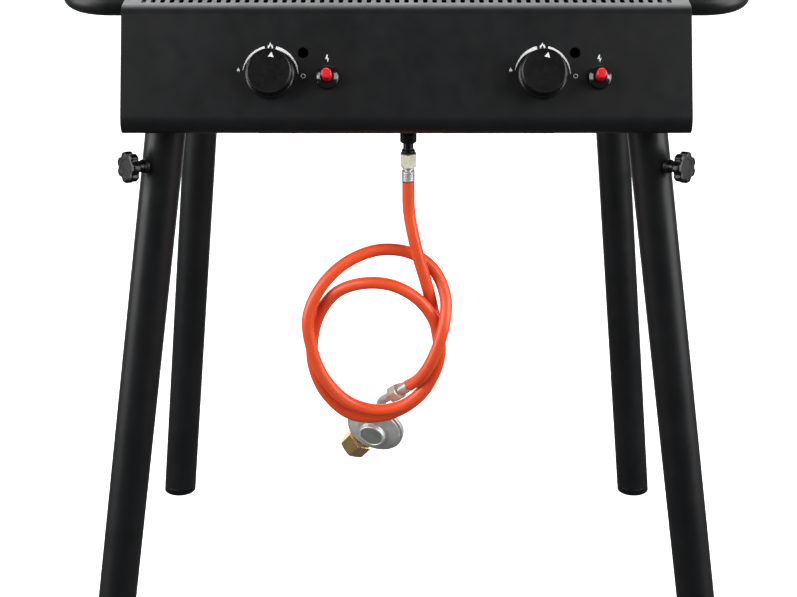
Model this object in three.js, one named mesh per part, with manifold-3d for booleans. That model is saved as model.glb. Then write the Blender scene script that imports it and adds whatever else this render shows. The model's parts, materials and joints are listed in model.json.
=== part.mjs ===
// Two-burner propane cooking table on four splayed tube legs, with its gas hose and regulator.
// Millimetres, +Z up. The controls face -Y. The origin is on the floor, under the middle of the table.
// Inside the table's own group, heights are measured from a datum FLOOR_DROP above the floor.
import * as THREE from 'three';
import { mergeVertices } from 'three/addons/utils/BufferGeometryUtils.js';
import Module from 'manifold-3d';

const wasm = await Module();
wasm.setup();

// ---- Driving dimensions ----
const GAP = 0.3; // between pieces that touch
const BODY_SHIFT_Y = 5.5; // the knobs reach further forward than the back feet reach back
const FLOOR_DROP = 37;

// Housing: one folded sheet makes the front, the deck and the back
const SHEET = 2;
const BEND_R = 16;
const PANEL_TILT = THREE.MathUtils.degToRad(27);
const FOOT_BEND = { y: 291.5, z: 707.2 }; // centre of the bend along the panel's foot
const TOP_BEND = { y: 243.2, z: 802 }; // centre of the bend along the deck's edge
const DECK_Z = TOP_BEND.z + BEND_R;
const RETURN_Y = 271; // how far in the flange under the panel comes
const HOUSING_HALF_W = 301.5;
const SIDE_WALL_X = 297;

// Vent slots along the deck's front and back edges
const SLOT = { count: 57, pitch: 10, width: 5, y0: 221, y1: 237 };

// Sunken hob well in the deck
const WELL = { halfX: 269, halfY: 193, corner: 20, floorZ: 786, sheet: 1.5, rim: 11 };
const BURNER_X = 143.5;
const BURNER_HOLE_R = 63;

// Controls, measured along the front panel from each knob's axis
const KNOB_AXIS = { y: -286.2, z: 753 }; // on the panel's outer face
const KNOB = { baseR: 26, faceR: 23.8, z0: 4.2, z1: 26 };
const IGNITER = { dx: 60, dy: -3, bezelR: 12.4, buttonR: 5.4, tipZ: 30 };
const PEEP = { dx: 34.4, dy: 23.7, r: 5.75 };

// Legs. Each is a tube on a stub, splayed sideways and forwards or backwards
const TUBE_R = 22;
const TUBE_WALL = 1.5;
const STUB_R = 20;
const LEG_ROOT_Z = 695;
const LEG_Y = 242.4;
const LEG_SLOPE_Y = 0.0605;
const LEG_TOP = 57.5; // how far the tube reaches up past LEG_ROOT_Z, along itself
const STUB_REACH = 105; // how far the stub reaches down inside the tube
const LEGS = [
  { name: 'front_left', sx: -1, sy: -1, x: 259, slopeX: 0.1373, starDown: 56 },
  { name: 'front_right', sx: 1, sy: -1, x: 259, slopeX: 0.1373, starDown: 56 },
  { name: 'back_left', sx: -1, sy: 1, x: 257, slopeX: 0.095, starDown: 52.5 },
  { name: 'back_right', sx: 1, sy: 1, x: 257, slopeX: 0.095, starDown: 52.5 },
];
const STAR = { lobes: 7, lobeR: 17.3, studR: 4, neck: 11.7, head: 10, turn: THREE.MathUtils.degToRad(40) };

// Side handles
const HANDLE = { tubeR: 13, y: 182, z: 802.7, reachX: 367.5, cornerR: 45, plateHalf: 24 };

// Gas inlet, hose and regulator
const RAIL = { r: 6, halfX: 163, y: -272.2, z: 725.4 };
const GUARD = { halfX: 158, y0: -276, y1: -236, z: 685, height: 5.9, sheet: 1.5 };
const INLET = { x: 2, y: -263 };
const HOSE_R = 6.85;
const HOSE_STEPS = 66;
const HOSE_ROUTE = [
  [2, -263, 626.4], [3, -263, 590], [12, -266, 544], [24, -262, 498.5], [32, -253, 457],
  [36.4, -252, 423], [31.3, -254, 394], [18, -256, 369.4], [-6, -257, 349.5], [-36, -258, 340.5],
  [-66, -258, 345.5], [-92, -256, 370.5], [-105, -255, 404.5], [-105, -254, 439.5], [-95, -258, 472],
  [-75.4, -263, 497.4], [-45.4, -268, 509], [-14.4, -271, 507], [12.4, -273, 491.7], [30, -272, 467],
  [37.4, -270, 434.5], [33.4, -270, 406], [18, -272, 379.7], [-6, -273, 361], [-36, -273, 356.4],
  [-66, -272, 366.4], [-92, -272, 395], [-106, -273, 433], [-109, -272, 471], [-94, -265, 504],
  [-66, -255, 528.7], [-30, -248, 540.6], [6, -248, 536.3], [31, -253, 518], [43.4, -267, 491],
  [41, -284, 462], [30.5, -287, 429], [20.6, -283.5, 408], [12.2, -276.8, 395], [3.2, -269.2, 385.6],
];
const NUT_AF = 17; // union nuts, across flats
const CYLINDER_NUT_AF = 30;
const REGULATOR = {
  centre: new THREE.Vector3(-35, -224, 312.4),
  face: new THREE.Vector3(-0.3, -0.9, -0.32).normalize(), // the way the lid looks
  inlet: new THREE.Vector3(-0.53, 0.386, -0.753), // towards the gas cylinder
  r: 33.5,
};

// ---- Materials ----
const finish = (color, roughness, metalness) =>
  new THREE.MeshStandardMaterial({ color, roughness, metalness });
const BLACK_COAT = finish(0x1d1d1f, 0.55, 0.2);
const BLACK_PLASTIC = finish(0x121214, 0.5, 0);
const ENAMEL = finish(0x161616, 0.3, 0.1);
const CAST_IRON = finish(0x2a2a2a, 0.8, 0.3);
const BRASS = finish(0xb08a45, 0.35, 0.9);
const STEEL = finish(0xb8b8b8, 0.35, 0.9);
const ZINC_YELLOW = finish(0xc9c2a0, 0.35, 0.8);
const ZINC_CAST = finish(0xa5a8a8, 0.45, 0.7);
const RED_PLASTIC = finish(0xc4161c, 0.3, 0);
const ORANGE_RUBBER = finish(0xe2502f, 0.5, 0);
const CERAMIC = finish(0xe8e6df, 0.4, 0);

// ---- Geometry helpers ----
const part = new THREE.Group();
const table = new THREE.Group();
table.position.set(0, BODY_SHIFT_Y, FLOOR_DROP);
part.add(table);

function addMesh(name, geometry, material, parent = table) {
  const mesh = new THREE.Mesh(geometry, material);
  mesh.name = name;
  parent.add(mesh);
  return mesh;
}

// A closed geometry as a solid, placed by a matrix
function solid(geometry, matrix = new THREE.Matrix4()) {
  const copy = geometry.index ? geometry.toNonIndexed() : geometry.clone();
  copy.applyMatrix4(matrix);
  copy.deleteAttribute('normal');
  copy.deleteAttribute('uv');
  const merged = mergeVertices(copy, 1e-4);
  return new wasm.Manifold(new wasm.Mesh({
    numProp: 3,
    vertProperties: new Float32Array(merged.attributes.position.array),
    triVerts: new Uint32Array(merged.index.array),
  }));
}

function geometryOf(manifold) {
  const mesh = manifold.getMesh();
  const geometry = new THREE.BufferGeometry();
  geometry.setAttribute('position', new THREE.BufferAttribute(new Float32Array(mesh.vertProperties), 3));
  geometry.setIndex(new THREE.BufferAttribute(new Uint32Array(mesh.triVerts), 1));
  return geometry;
}

const join = (solids) => solids.reduce((all, one) => all.add(one));

function boxSolid(x0, x1, y0, y1, z0, z1) {
  const box = new THREE.BoxGeometry(x1 - x0, y1 - y0, z1 - z0);
  return solid(box, new THREE.Matrix4().makeTranslation((x0 + x1) / 2, (y0 + y1) / 2, (z0 + z1) / 2));
}

// A turned piece about +Z, from (radius, height) pairs. The outline is closed on the axis or on itself
function turned(outline, sides) {
  const points = outline.map(([r, z]) => new THREE.Vector2(r, z));
  const geometry = new THREE.LatheGeometry(points, sides);
  geometry.rotateX(Math.PI / 2);
  return geometry;
}

const rod = (r, z0, z1, sides) => turned([[0, z0], [r, z0], [r, z1], [0, z1]], sides);

// A closed outline in the YZ plane, drawn out along X
function alongX(points, x0, x1) {
  const shape = new THREE.Shape(points.map(([y, z]) => new THREE.Vector2(y, z)));
  const geometry = new THREE.ExtrudeGeometry(shape, { depth: x1 - x0, bevelEnabled: false });
  const turn = new THREE.Matrix4().makeBasis(
    new THREE.Vector3(0, 1, 0), new THREE.Vector3(0, 0, 1), new THREE.Vector3(1, 0, 0));
  geometry.applyMatrix4(turn);
  geometry.translate(x0, 0, 0);
  return geometry;
}

// A closed outline in the XZ plane, drawn out along Y
function alongY(points, y0, y1) {
  const shape = new THREE.Shape(points.map(([x, z]) => new THREE.Vector2(x, z)));
  const geometry = new THREE.ExtrudeGeometry(shape, { depth: y1 - y0, bevelEnabled: false });
  geometry.rotateX(Math.PI / 2);
  geometry.translate(0, y1, 0);
  return geometry;
}

function roundedBox(halfX, halfY, corner, z0, z1) {
  const shape = new THREE.Shape();
  shape.moveTo(-halfX + corner, -halfY);
  shape.lineTo(halfX - corner, -halfY);
  shape.absarc(halfX - corner, -halfY + corner, corner, -Math.PI / 2, 0);
  shape.absarc(halfX - corner, halfY - corner, corner, 0, Math.PI / 2);
  shape.absarc(-halfX + corner, halfY - corner, corner, Math.PI / 2, Math.PI);
  shape.absarc(-halfX + corner, -halfY + corner, corner, Math.PI, Math.PI * 1.5);
  const options = { depth: z1 - z0, bevelEnabled: false, curveSegments: 3 };
  return new THREE.ExtrudeGeometry(shape, options).translate(0, 0, z0);
}

// A frame whose +Z is the given direction
function frameAt(position, zAxis, xHint) {
  const z = zAxis.clone().normalize();
  const y = z.clone().cross(xHint).normalize();
  const x = y.clone().cross(z);
  return new THREE.Matrix4().makeBasis(x, y, z).setPosition(position);
}

function groupAt(matrix) {
  const group = new THREE.Group();
  matrix.decompose(group.position, group.quaternion, group.scale);
  table.add(group);
  return group;
}

// ---- Housing ----
// The folded sheet's outline at one surface: r is BEND_R outside and BEND_R - SHEET inside
function foldLine(r) {
  const points = [[-RETURN_Y, FOOT_BEND.z - r]];
  const arc = (cy, cz, from, to) => {
    const steps = 4;
    for (let i = 0; i <= steps; i += 1) {
      const a = from + ((to - from) * i) / steps;
      points.push([cy + r * Math.cos(a), cz + r * Math.sin(a)]);
    }
  };
  const face = Math.PI - PANEL_TILT;
  arc(-FOOT_BEND.y, FOOT_BEND.z, Math.PI * 1.5, face);
  arc(-TOP_BEND.y, TOP_BEND.z, face, Math.PI / 2);
  arc(TOP_BEND.y, TOP_BEND.z, Math.PI / 2, PANEL_TILT);
  arc(FOOT_BEND.y, FOOT_BEND.z, PANEL_TILT, -Math.PI / 2);
  points.push([RETURN_Y, FOOT_BEND.z - r]);
  return points;
}

// The frame on the front panel at a knob: +Z straight out of the panel, +Y up along it
function panelFrame(x, dy = 0) {
  const out = new THREE.Vector3(0, -Math.cos(PANEL_TILT), Math.sin(PANEL_TILT));
  const up = new THREE.Vector3(0, Math.sin(PANEL_TILT), Math.cos(PANEL_TILT));
  const origin = new THREE.Vector3(x, KNOB_AXIS.y, KNOB_AXIS.z).addScaledVector(up, dy);
  return new THREE.Matrix4().makeBasis(new THREE.Vector3(1, 0, 0), up, out).setPosition(origin);
}

function buildHousing() {
  const fold = [...foldLine(BEND_R), ...foldLine(BEND_R - SHEET).reverse()];
  let shell = solid(alongX(fold, -HOUSING_HALF_W, HOUSING_HALF_W));
  const cuts = [solid(roundedBox(WELL.halfX + 3, WELL.halfY + 3, WELL.corner, 800, 840))];
  for (let i = 0; i < SLOT.count; i += 1) {
    const x = (i - (SLOT.count - 1) / 2) * SLOT.pitch;
    const half = SLOT.width / 2;
    cuts.push(boxSolid(x - half, x + half, -SLOT.y1, -SLOT.y0, 810, 825));
    cuts.push(boxSolid(x - half, x + half, SLOT.y0, SLOT.y1, 810, 825));
  }
  for (const side of [-1, 1]) {
    const x = side * BURNER_X;
    cuts.push(solid(rod(6.5, -6, 6, 16), panelFrame(x)));
    cuts.push(solid(rod(9, -6, 6, 16), panelFrame(x + IGNITER.dx, IGNITER.dy)));
    cuts.push(solid(rod(PEEP.r, -6, 6, 16), panelFrame(x + PEEP.dx, PEEP.dy)));
  }
  shell = shell.subtract(join(cuts));
  addMesh('housing_shell', geometryOf(shell), BLACK_COAT);

  const wallLine = foldLine(BEND_R - SHEET - GAP);
  wallLine[0][0] = -FOOT_BEND.y;
  wallLine[wallLine.length - 1][0] = FOOT_BEND.y;
  addMesh('side_wall_left', alongX(wallLine, -SIDE_WALL_X, -SIDE_WALL_X + SHEET), BLACK_COAT);
  addMesh('side_wall_right', alongX(wallLine, SIDE_WALL_X - SHEET, SIDE_WALL_X), BLACK_COAT);
}

function buildWell() {
  const { halfX, halfY, corner, floorZ, sheet, rim } = WELL;
  const rimZ = DECK_Z + GAP;
  const outer = solid(roundedBox(halfX, halfY, corner, floorZ, rimZ + sheet));
  const rimPlate = solid(roundedBox(halfX + rim, halfY + rim, corner + rim, rimZ, rimZ + sheet));
  const hollow = solid(roundedBox(halfX - sheet, halfY - sheet, corner - sheet, floorZ + sheet, 840));
  let well = outer.add(rimPlate).subtract(hollow);
  for (const side of [-1, 1]) {
    const at = new THREE.Matrix4().makeTranslation(side * BURNER_X, 0, 0);
    well = well.subtract(solid(rod(BURNER_HOLE_R, floorZ - 5, floorZ + 5, 32), at));
  }
  addMesh('hob_well', geometryOf(well), ENAMEL);
}

// ---- Burners ----
const BURNER = { footZ: 726.3, tubeZ: 738, rimZ: 798, headR: 54, tubeR: 12, boreR: 10, mouthY: -232 };

function buildBurner(side, name) {
  const { footZ, tubeZ, rimZ, headR, tubeR, boreR, mouthY } = BURNER;
  const bowl = solid(turned([
    [0, footZ], [30, footZ], [30, 752], [headR, 774], [headR, rimZ], [headR - 4, rimZ],
    [headR - 4, 778], [26, 757], [26, footZ + 4], [0, footZ + 4],
  ], 32));
  const lie = new THREE.Matrix4().makeRotationX(Math.PI / 2).setPosition(0, 0, tubeZ);
  const tube = solid(rod(tubeR, 20, -mouthY, 20), lie);
  const bore = solid(rod(boreR, 10, -mouthY + 5, 20), lie);
  const body = addMesh(`burner_body_${name}`, geometryOf(bowl.add(tube).subtract(bore)), CAST_IRON);
  body.position.x = side * BURNER_X;

  const cap = addMesh(`burner_cap_${name}`, turned([
    [0, rimZ + GAP], [48, rimZ + GAP], [50, rimZ + 3], [50, rimZ + 6], [46, rimZ + 9], [0, rimZ + 10],
  ], 32), ENAMEL);
  cap.position.x = side * BURNER_X;

  const spark = addMesh(`electrode_${name}`, turned([
    [0, 764], [3, 764], [3, 792], [1.2, 793], [1.2, 803], [0, 803],
  ], 12), CERAMIC);
  const away = headR + 4.7;
  const turn = THREE.MathUtils.degToRad(40);
  spark.position.set(side * BURNER_X + away * Math.sin(turn), -away * Math.cos(turn), 0);

  const jet = addMesh(`injector_${name}`, turned([
    [0, 226], [4, 226], [4, 240], [6, 240], [6, 246], [0, 246],
  ], 12), BRASS);
  jet.rotation.x = Math.PI / 2;
  jet.position.set(side * BURNER_X, 0, tubeZ);
}

function buildBridge() {
  const end = SIDE_WALL_X - SHEET - GAP;
  const outline = [[-end, 724], [end, 724], [end, 764], [end - SHEET, 764], [end - SHEET, 726],
    [-end + SHEET, 726], [-end + SHEET, 764], [-end, 764]];
  addMesh('burner_bridge', alongY(outline, -20, 20), BLACK_COAT);
}

// ---- Pan grates: a frame of square bar with crossing bars and four feet in the well ----
const GRATE = { inner: 6, outer: 262, halfY: 186, bar: 8, topZ: 826 };

function buildGrate(side, name) {
  const { inner, outer, halfY, bar, topZ } = GRATE;
  const z0 = topZ - bar;
  const mid = (inner + outer) / 2;
  const bars = [];
  for (const x of [inner, mid - 84, mid - 42, mid - bar / 2, mid + 34, mid + 76, outer - bar]) {
    bars.push(boxSolid(x, x + bar, -halfY, halfY, z0, topZ));
  }
  for (const y of [-halfY, -bar / 2, halfY - bar]) {
    bars.push(boxSolid(inner, outer, y, y + bar, z0, topZ));
  }
  const footZ = WELL.floorZ + WELL.sheet + GAP;
  for (const x of [inner, outer - bar]) {
    for (const y of [-halfY, halfY - bar]) {
      bars.push(boxSolid(x, x + bar, y, y + bar, footZ, topZ));
    }
  }
  const grate = join(bars);
  const flip = new THREE.Matrix4().makeRotationZ(side < 0 ? Math.PI : 0);
  addMesh(`grate_${name}`, geometryOf(grate).applyMatrix4(flip), CAST_IRON);
}

// ---- Controls ----
function buildControl(side, name) {
  const frame = groupAt(panelFrame(side * BURNER_X));
  const block = boxSolid(-11, 11, -12, 12, -40, -5.3);
  const ears = boxSolid(-17, 17, -11, 11, -5.3, -SHEET - GAP);
  const bore = solid(rod(6, -24, 1, 16));
  addMesh(`valve_${name}`, geometryOf(block.add(ears).subtract(bore)), BRASS, frame);
  addMesh(`spring_plate_${name}`, turned([
    [4.4, -12], [5.6, -12], [5.6, -10], [4.4, -10], [4.4, -12],
  ], 12), STEEL, frame);
  addMesh(`spindle_${name}`, rod(4, -20, 14.3, 12), STEEL, frame);
  const { baseR, faceR, z0, z1 } = KNOB;
  addMesh(`knob_${name}`, turned([
    [4.4, 6], [8, 6], [8, 22], [21, 22], [22, z0], [baseR, z0], [baseR - 0.4, 7], [faceR, 8.5], [faceR, z1 - 1],
    [faceR - 1, z1], [0, z1], [0, 14.6], [4.4, 14.6], [4.4, 6],
  ], 32), BLACK_PLASTIC, frame);

  const spark = groupAt(panelFrame(side * BURNER_X + IGNITER.dx, IGNITER.dy));
  const { bezelR, buttonR, tipZ } = IGNITER;
  addMesh(`igniter_body_${name}`, turned([
    [0, -40], [8.5, -40], [8.5, GAP], [bezelR, GAP], [bezelR, 6], [bezelR - 1.2, 8],
    [buttonR + 0.8, 8], [buttonR + 0.8, -22], [0, -22],
  ], 20), BLACK_PLASTIC, spark);
  addMesh(`igniter_button_${name}`, turned([
    [0, -12], [buttonR, -12], [buttonR, tipZ - 1], [buttonR - 1, tipZ], [0, tipZ],
  ], 16), RED_PLASTIC, spark);
}

// ---- Gas rail, its guard and the inlet ----
function buildRail() {
  const lie = new THREE.Matrix4().makeRotationY(Math.PI / 2).setPosition(0, RAIL.y, RAIL.z);
  const pipe = solid(rod(RAIL.r, -RAIL.halfX, RAIL.halfX, 12), lie);
  const tee = boxSolid(INLET.x - 10, INLET.x + 10, RAIL.y - 8, INLET.y + 9, RAIL.z - 9, RAIL.z + 9);
  const down = new THREE.Matrix4().makeTranslation(INLET.x, INLET.y, 0);
  const branch = solid(rod(5.5, 690.3, RAIL.z, 12), down);
  addMesh('gas_rail', geometryOf(join([pipe, tee, branch])), STEEL);
}

function buildGuard() {
  const { halfX, y0, y1, z, height, sheet } = GUARD;
  const outline = [[y0, z], [y1, z], [y1, z + height], [y1 - sheet, z + height], [y1 - sheet, z + sheet],
    [y0 + sheet, z + sheet], [y0 + sheet, z + height], [y0, z + height]];
  const at = new THREE.Matrix4().makeTranslation(INLET.x, INLET.y, 0);
  const hole = solid(rod(7, z - 5, z + 5, 12), at);
  addMesh('rail_guard', geometryOf(solid(alongX(outline, -halfX, halfX)).subtract(hole)), BLACK_COAT);
}

const hexR = (acrossFlats) => acrossFlats / Math.sqrt(3);

// The union nut and crimped ferrule on one end of the hose, along +Z away from the hose
const HOSE_END = { ferrule: 12.7, nipple: 4.4, nut: 15.5 };

function buildHoseEnd(group, ferruleName, nutName) {
  const { ferrule, nipple, nut } = HOSE_END;
  const neck = ferrule + nipple;
  addMesh(ferruleName, turned([
    [0, 0.6], [7.1, 0.6], [7.1, ferrule], [5, ferrule], [5, ferrule + 1.5], [6.4, ferrule + 1.5],
    [6.4, ferrule + 3], [4.4, ferrule + 3], [4.4, neck + 3], [0, neck + 3],
  ], 12), STEEL, group);
  addMesh(nutName, turned([
    [5.6, neck], [hexR(NUT_AF), neck], [hexR(NUT_AF), neck + nut - GAP], [5.6, neck + nut - GAP],
    [5.6, neck],
  ], 6), ZINC_YELLOW, group);
}

function buildInlet() {
  const group = groupAt(new THREE.Matrix4().makeTranslation(INLET.x, INLET.y, 0));
  const stem = solid(rod(6, 680, 690, 12)).add(solid(rod(hexR(15.5), 671, 681, 6)));
  const cone = solid(turned([[0, 659.3], [7.4, 659.3], [7.4, 662], [5.6, 664], [5.6, 672], [0, 672]], 12));
  addMesh('inlet_fitting', geometryOf(stem.add(cone)), BLACK_COAT, group);
}

// ---- Hose and regulator ----
const routePoints = HOSE_ROUTE.map(([x, y, z]) => new THREE.Vector3(x, y, z));
const hoseCurve = new THREE.CatmullRomCurve3(routePoints, false, 'centripetal');
const hoseEndDirection = hoseCurve.getTangent(1);

function buildHose() {
  const section = new THREE.Shape();
  const sides = 8;
  for (let i = 0; i < sides; i += 1) {
    const a = (i / sides) * Math.PI * 2;
    const point = [HOSE_R * Math.cos(a), HOSE_R * Math.sin(a)];
    if (i === 0) section.moveTo(...point);
    else section.lineTo(...point);
  }
  section.closePath();
  const tube = new THREE.ExtrudeGeometry(section, { steps: HOSE_STEPS, extrudePath: hoseCurve });
  addMesh('gas_hose', tube, ORANGE_RUBBER);

  const xHint = new THREE.Vector3(1, 0, 0);
  const top = groupAt(frameAt(routePoints[0], new THREE.Vector3(0, 0, 1), xHint));
  buildHoseEnd(top, 'inlet_ferrule', 'inlet_nut');
  const bottom = groupAt(frameAt(routePoints.at(-1), hoseEndDirection, xHint));
  buildHoseEnd(bottom, 'regulator_ferrule', 'regulator_nut');
}

function buildRegulator() {
  const { centre, face, inlet, r } = REGULATOR;
  const frame = frameAt(centre, face, inlet);
  const group = groupAt(frame);
  const inletDrop = -5; // the inlet's axis is this far behind the rim, so that it clears the lid
  const toInlet = new THREE.Matrix4().makeRotationY(Math.PI / 2).setPosition(0, 0, inletDrop);
  const bowl = solid(turned([
    [0, -15], [18, -14], [28, -6], [29.5, -2], [r, -2], [r, 2], [0, 2],
  ], 28));
  const neck = solid(turned([
    [0, 20], [6.5, 20], [6.5, 37.9], [9.6, 37.9], [9.6, 42], [5, 42], [5, 51.5], [0, 51.5],
  ], 16), toInlet);

  const inverse = frame.clone().invert();
  const end = HOSE_END.ferrule + HOSE_END.nipple + HOSE_END.nut + GAP;
  const onHoseAxis = (reach) => routePoints.at(-1).clone()
    .addScaledVector(hoseEndDirection, reach)
    .applyMatrix4(inverse);
  const bend = new THREE.CubicBezierCurve3(
    onHoseAxis(end), onHoseAxis(end + 16), new THREE.Vector3(-36, -19, -7), new THREE.Vector3(-15, -8, -7));
  const section = new THREE.Shape().absarc(0, 0, 5.2, 0, Math.PI * 2);
  const outlet = solid(new THREE.ExtrudeGeometry(section, { steps: 5, curveSegments: 8, extrudePath: bend }));
  addMesh('regulator_body', geometryOf(join([bowl, neck, outlet])), ZINC_CAST, group);

  addMesh('regulator_lid', turned([
    [0, 2.3], [r, 2.3], [r, 5], [30, 6.5], [19, 12], [15, 12.5], [15, 17.5], [13.8, 18.5], [0, 18.5],
  ], 28), ZINC_CAST, group);

  const nutR = hexR(CYLINDER_NUT_AF);
  const nut = addMesh('cylinder_nut', turned([
    [8, 34], [15, 34], [nutR, 36.5], [nutR, 57.5], [12, 57.5], [12, 37.5], [8, 37.5], [8, 34],
  ], 6), BRASS, group);
  nut.rotation.y = Math.PI / 2;
  nut.position.z = inletDrop;
}

// ---- Legs, sockets and star knobs ----
function legFrame(leg) {
  const up = new THREE.Vector3(-leg.sx * leg.slopeX, -leg.sy * LEG_SLOPE_Y, 1);
  const root = new THREE.Vector3(leg.sx * leg.x, leg.sy * LEG_Y, LEG_ROOT_Z);
  return frameAt(root, up, new THREE.Vector3(1, 0, 0));
}

function buildLeg(leg) {
  const frame = legFrame(leg);
  const inverse = frame.clone().invert();
  const group = groupAt(frame);
  const stretch = Math.hypot(1, leg.slopeX, LEG_SLOPE_Y);
  const footAt = -(LEG_ROOT_Z + FLOOR_DROP) * stretch;
  const sides = 24;
  const treadZ = 10 - FLOOR_DROP; // the foot cap shows this far up, below the tube

  const outAngle = leg.sx > 0 ? 0 : Math.PI;
  const lean = leg.sx * leg.sy * STAR.turn;
  const knobFrame = new THREE.Matrix4()
    .makeRotationZ(outAngle + lean)
    .multiply(new THREE.Matrix4().makeRotationY(Math.PI / 2))
    .setPosition(0, 0, -leg.starDown);

  const floorCut = boxSolid(-500, 500, -500, 500, -100, treadZ).transform(inverse.elements);
  const wall = solid(rod(TUBE_R, footAt - 10, LEG_TOP, sides));
  const boss = solid(rod(7, TUBE_R - 2, TUBE_R + 3, 12), knobFrame);
  const inside = solid(rod(TUBE_R - TUBE_WALL, footAt - 20, LEG_TOP + 5, sides));
  const studHole = solid(rod(STAR.studR + 0.4, 10, 30, 12), knobFrame);
  const tube = wall.add(boss).subtract(inside).subtract(studHole).subtract(floorCut);
  addMesh(`leg_tube_${leg.name}`, geometryOf(tube), BLACK_COAT, group);

  const underFloor = boxSolid(-500, 500, -500, 500, -100, -FLOOR_DROP).transform(inverse.elements);
  const overTread = boxSolid(-500, 500, -500, 500, treadZ - GAP, 200).transform(inverse.elements);
  const tread = solid(rod(TUBE_R, footAt - 10, footAt + 20, sides)).subtract(overTread);
  const plug = solid(rod(TUBE_R - TUBE_WALL - GAP, footAt, footAt + 26, sides));
  const cap = tread.add(plug).subtract(underFloor);
  addMesh(`foot_cap_${leg.name}`, geometryOf(cap), BLACK_PLASTIC, group);

  buildStarKnob(leg, group, knobFrame);
  buildSocket(leg, frame, sides);
}

function buildStarKnob(leg, group, knobFrame) {
  const holder = new THREE.Group();
  knobFrame.decompose(holder.position, holder.quaternion, holder.scale);
  group.add(holder);
  const face = TUBE_R + 3 + GAP;
  addMesh(`star_washer_${leg.name}`, turned([
    [STAR.studR + 0.4, face], [7.5, face], [7.5, face + 1.2], [STAR.studR + 0.4, face + 1.2],
    [STAR.studR + 0.4, face],
  ], 12), STEEL, holder);
  const seat = face + 1.2 + GAP;
  const stud = solid(turned([
    [0, STUB_R + GAP], [STAR.studR, STUB_R + GAP], [STAR.studR, seat], [6.2, seat],
    [6.8, seat + STAR.neck], [0, seat + STAR.neck],
  ], 12));
  const outline = new THREE.Shape();
  const points = STAR.lobes * 4;
  for (let i = 0; i < points; i += 1) {
    const a = (i / points) * Math.PI * 2;
    const r = STAR.lobeR - 2.2 + 2.2 * Math.cos(a * STAR.lobes);
    if (i === 0) outline.moveTo(r, 0);
    else outline.lineTo(r * Math.cos(a), r * Math.sin(a));
  }
  outline.closePath();
  const head = new THREE.ExtrudeGeometry(outline, { depth: STAR.head, bevelEnabled: false });
  head.translate(0, 0, seat + STAR.neck - 0.5);
  addMesh(`star_knob_${leg.name}`, geometryOf(stud.add(solid(head))), BLACK_PLASTIC, holder);
}

// A stub for the leg, under a plate that is screwed to the side wall
function buildSocket(leg, frame, sides) {
  const stub = solid(rod(STUB_R, -STUB_REACH, 66, sides), frame);
  const bore = solid(rod(STUB_R - 2, -STUB_REACH - 5, 50, sides), frame);
  const wallX = SIDE_WALL_X - SHEET - GAP;
  const y = leg.sy * (LEG_Y - 4);
  const plateZ = 757;
  const span = (near, far) => [Math.min(leg.sx * near, leg.sx * far), Math.max(leg.sx * near, leg.sx * far)];
  const plate = boxSolid(...span(226, wallX), y - 30, y + 30, plateZ, plateZ + 3);
  const flange = boxSolid(...span(wallX - 3, wallX), y - 30, y + 30, 722, plateZ + 3);
  const above = boxSolid(-400, 400, -400, 400, plateZ + 3, 900);
  const socket = join([stub.subtract(bore), plate, flange]).subtract(above);
  addMesh(`leg_socket_${leg.name}`, geometryOf(socket), BLACK_COAT);
}

// ---- Side handles: a tube bent to a flat U, with a foot plate at each end ----
function buildHandle(side, name) {
  const { tubeR, y, z, reachX, cornerR, plateHalf } = HANDLE;
  const x0 = SIDE_WALL_X + GAP;
  const path = new THREE.CurvePath();
  const at = (x, yy) => new THREE.Vector3(side * x, yy, z);
  const bendX = reachX - cornerR;
  path.add(new THREE.LineCurve3(at(x0, -y), at(bendX, -y)));
  path.add(new THREE.QuadraticBezierCurve3(at(bendX, -y), at(reachX, -y), at(reachX, -y + cornerR)));
  path.add(new THREE.LineCurve3(at(reachX, -y + cornerR), at(reachX, y - cornerR)));
  path.add(new THREE.QuadraticBezierCurve3(at(reachX, y - cornerR), at(reachX, y), at(bendX, y)));
  path.add(new THREE.LineCurve3(at(bendX, y), at(x0, y)));
  const section = new THREE.Shape().absarc(0, 0, tubeR, 0, Math.PI * 2);
  const tube = solid(new THREE.ExtrudeGeometry(section, { steps: 40, curveSegments: 8, extrudePath: path }));
  const plateX = [side * x0, side * (x0 + 3)].sort((a, b) => a - b);
  const flanges = [-y, y].map((yy) => boxSolid(...plateX, yy - plateHalf, yy + plateHalf, z - 18, z + 12.5));
  const trimBox = side > 0 ? boxSolid(200, x0, -300, 300, 700, 900) : boxSolid(-x0, -200, -300, 300, 700, 900);
  addMesh(`handle_${name}`, geometryOf(join([tube, ...flanges]).subtract(trimBox)), BLACK_COAT);
}

buildHousing();
buildWell();
buildBridge();
for (const [side, name] of [[-1, 'left'], [1, 'right']]) {
  buildBurner(side, name);
  buildGrate(side, name);
  buildControl(side, name);
  buildHandle(side, name);
}
buildRail();
buildGuard();
buildInlet();
buildHose();
buildRegulator();
LEGS.forEach(buildLeg);

export default part;
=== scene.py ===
"""Two-burner propane cooking table on splayed tube legs, with its looped gas hose and regulator.

Sizes in this script are millimetres in the table's own frame, as in the CAD part, and each mesh is
made in metres in the row frame: TABLE_SHIFT moves one frame onto the other.
"""
import json
from math import asin, cos, degrees, pi, radians, sin, sqrt, tanh

import bpy
from mathutils import Matrix, Vector


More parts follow.
